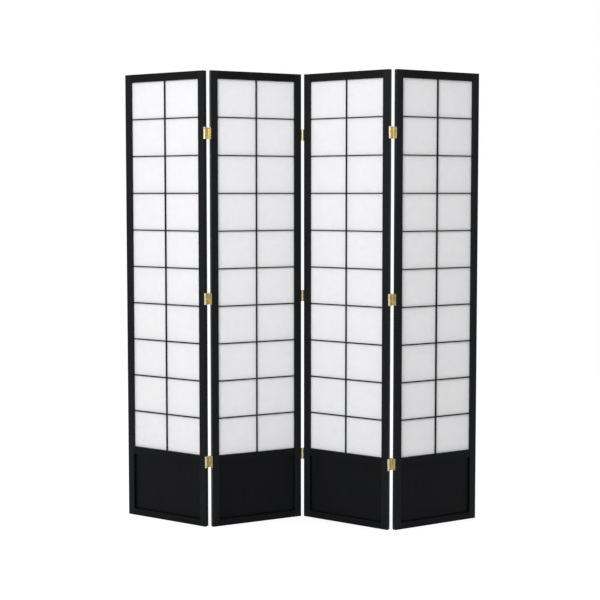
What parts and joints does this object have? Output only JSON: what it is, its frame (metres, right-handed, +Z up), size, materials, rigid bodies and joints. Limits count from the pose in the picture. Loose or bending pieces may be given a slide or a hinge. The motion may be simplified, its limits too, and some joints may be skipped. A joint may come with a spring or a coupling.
{
  "type": "folding shoji screen",
  "caption": "Free-standing folding screen of papered lattice panels over solid kick boards, joined edge to edge by two-way brass hinges and standing in a zigzag.",
  "frame": {"origin": "centre of the footprint's bounding box, on the floor", "axes": "+Z up; +Y away from the viewer, through the screen; +X to the viewer's right, along the screen"},
  "size_m": [1.4084, 0.2192, 1.78],
  "materials": {
    "frame_lacquer": "black satin lacquer on close-grained softwood",
    "board_lacquer": "black satin lacquer on a thin solid board",
    "lath_lacquer": "black satin lacquer on thin laths",
    "shoji_paper": "white translucent fibre paper, matt",
    "hinge_brass": "pale satin brass"
  },
  "bodies": {
    "panel_2": {"panel_2_left_stile": "frame_lacquer", "panel_2_right_stile": "frame_lacquer", "panel_2_top_rail": "frame_lacquer", "panel_2_middle_rail": "frame_lacquer", "panel_2_bottom_rail": "frame_lacquer", "panel_2_kick_board": "board_lacquer", "panel_2_upright_lath": "lath_lacquer", "panel_2_cross_laths": "lath_lacquer", "panel_2_paper": "shoji_paper", "fold_1_right_plates": "hinge_brass", "fold_2_left_plates": "hinge_brass"},
    "link_1": {"fold_1_links": "hinge_brass"},
    "panel_1": {"panel_1_left_stile": "frame_lacquer", "panel_1_right_stile": "frame_lacquer", "panel_1_top_rail": "frame_lacquer", "panel_1_middle_rail": "frame_lacquer", "panel_1_bottom_rail": "frame_lacquer", "panel_1_kick_board": "board_lacquer", "panel_1_upright_lath": "lath_lacquer", "panel_1_cross_laths": "lath_lacquer", "panel_1_paper": "shoji_paper", "fold_1_left_plates": "hinge_brass"},
    "link_2": {"fold_2_links": "hinge_brass"},
    "panel_3": {"panel_3_left_stile": "frame_lacquer", "panel_3_right_stile": "frame_lacquer", "panel_3_top_rail": "frame_lacquer", "panel_3_middle_rail": "frame_lacquer", "panel_3_bottom_rail": "frame_lacquer", "panel_3_kick_board": "board_lacquer", "panel_3_upright_lath": "lath_lacquer", "panel_3_cross_laths": "lath_lacquer", "panel_3_paper": "shoji_paper", "fold_2_right_plates": "hinge_brass", "fold_3_left_plates": "hinge_brass"},
    "link_3": {"fold_3_links": "hinge_brass"},
    "panel_4": {"panel_4_left_stile": "frame_lacquer", "panel_4_right_stile": "frame_lacquer", "panel_4_top_rail": "frame_lacquer", "panel_4_middle_rail": "frame_lacquer", "panel_4_bottom_rail": "frame_lacquer", "panel_4_kick_board": "board_lacquer", "panel_4_upright_lath": "lath_lacquer", "panel_4_cross_laths": "lath_lacquer", "panel_4_paper": "shoji_paper", "fold_3_right_plates": "hinge_brass"}
  },
  "joints": [
    {"name": "fold_1_back_pin", "type": "hinge", "parent": "panel_2", "child": "link_1", "pos_m": [-0.35237, -0.07174, 0.899], "axis": [0, 0, -1], "range_deg": [-54.5, 125.5]},
    {"name": "fold_1_front_pin", "type": "hinge", "parent": "link_1", "child": "panel_1", "pos_m": [-0.36345, -0.09302, 0.899], "axis": [0, 0, -1], "range_deg": [-180, 0]},
    {"name": "fold_2_front_pin", "type": "hinge", "parent": "panel_2", "child": "link_2", "pos_m": [0.00647, 0.08416, 0.899], "axis": [0, 0, -1], "range_deg": [-56, 124]},
    {"name": "fold_2_back_pin", "type": "hinge", "parent": "link_2", "child": "panel_3", "pos_m": [0.0181, 0.10515, 0.899], "axis": [0, 0, -1], "range_deg": [-180, 0]},
    {"name": "fold_3_front_pin", "type": "hinge", "parent": "panel_3", "child": "link_3", "pos_m": [0.34801, -0.10515, 0.899], "axis": [0, 0, 1], "range_deg": [-180, 0]},
    {"name": "fold_3_back_pin", "type": "hinge", "parent": "link_3", "child": "panel_4", "pos_m": [0.35964, -0.08416, 0.899], "axis": [0, 0, 1], "range_deg": [-59, 121]}
  ]
}
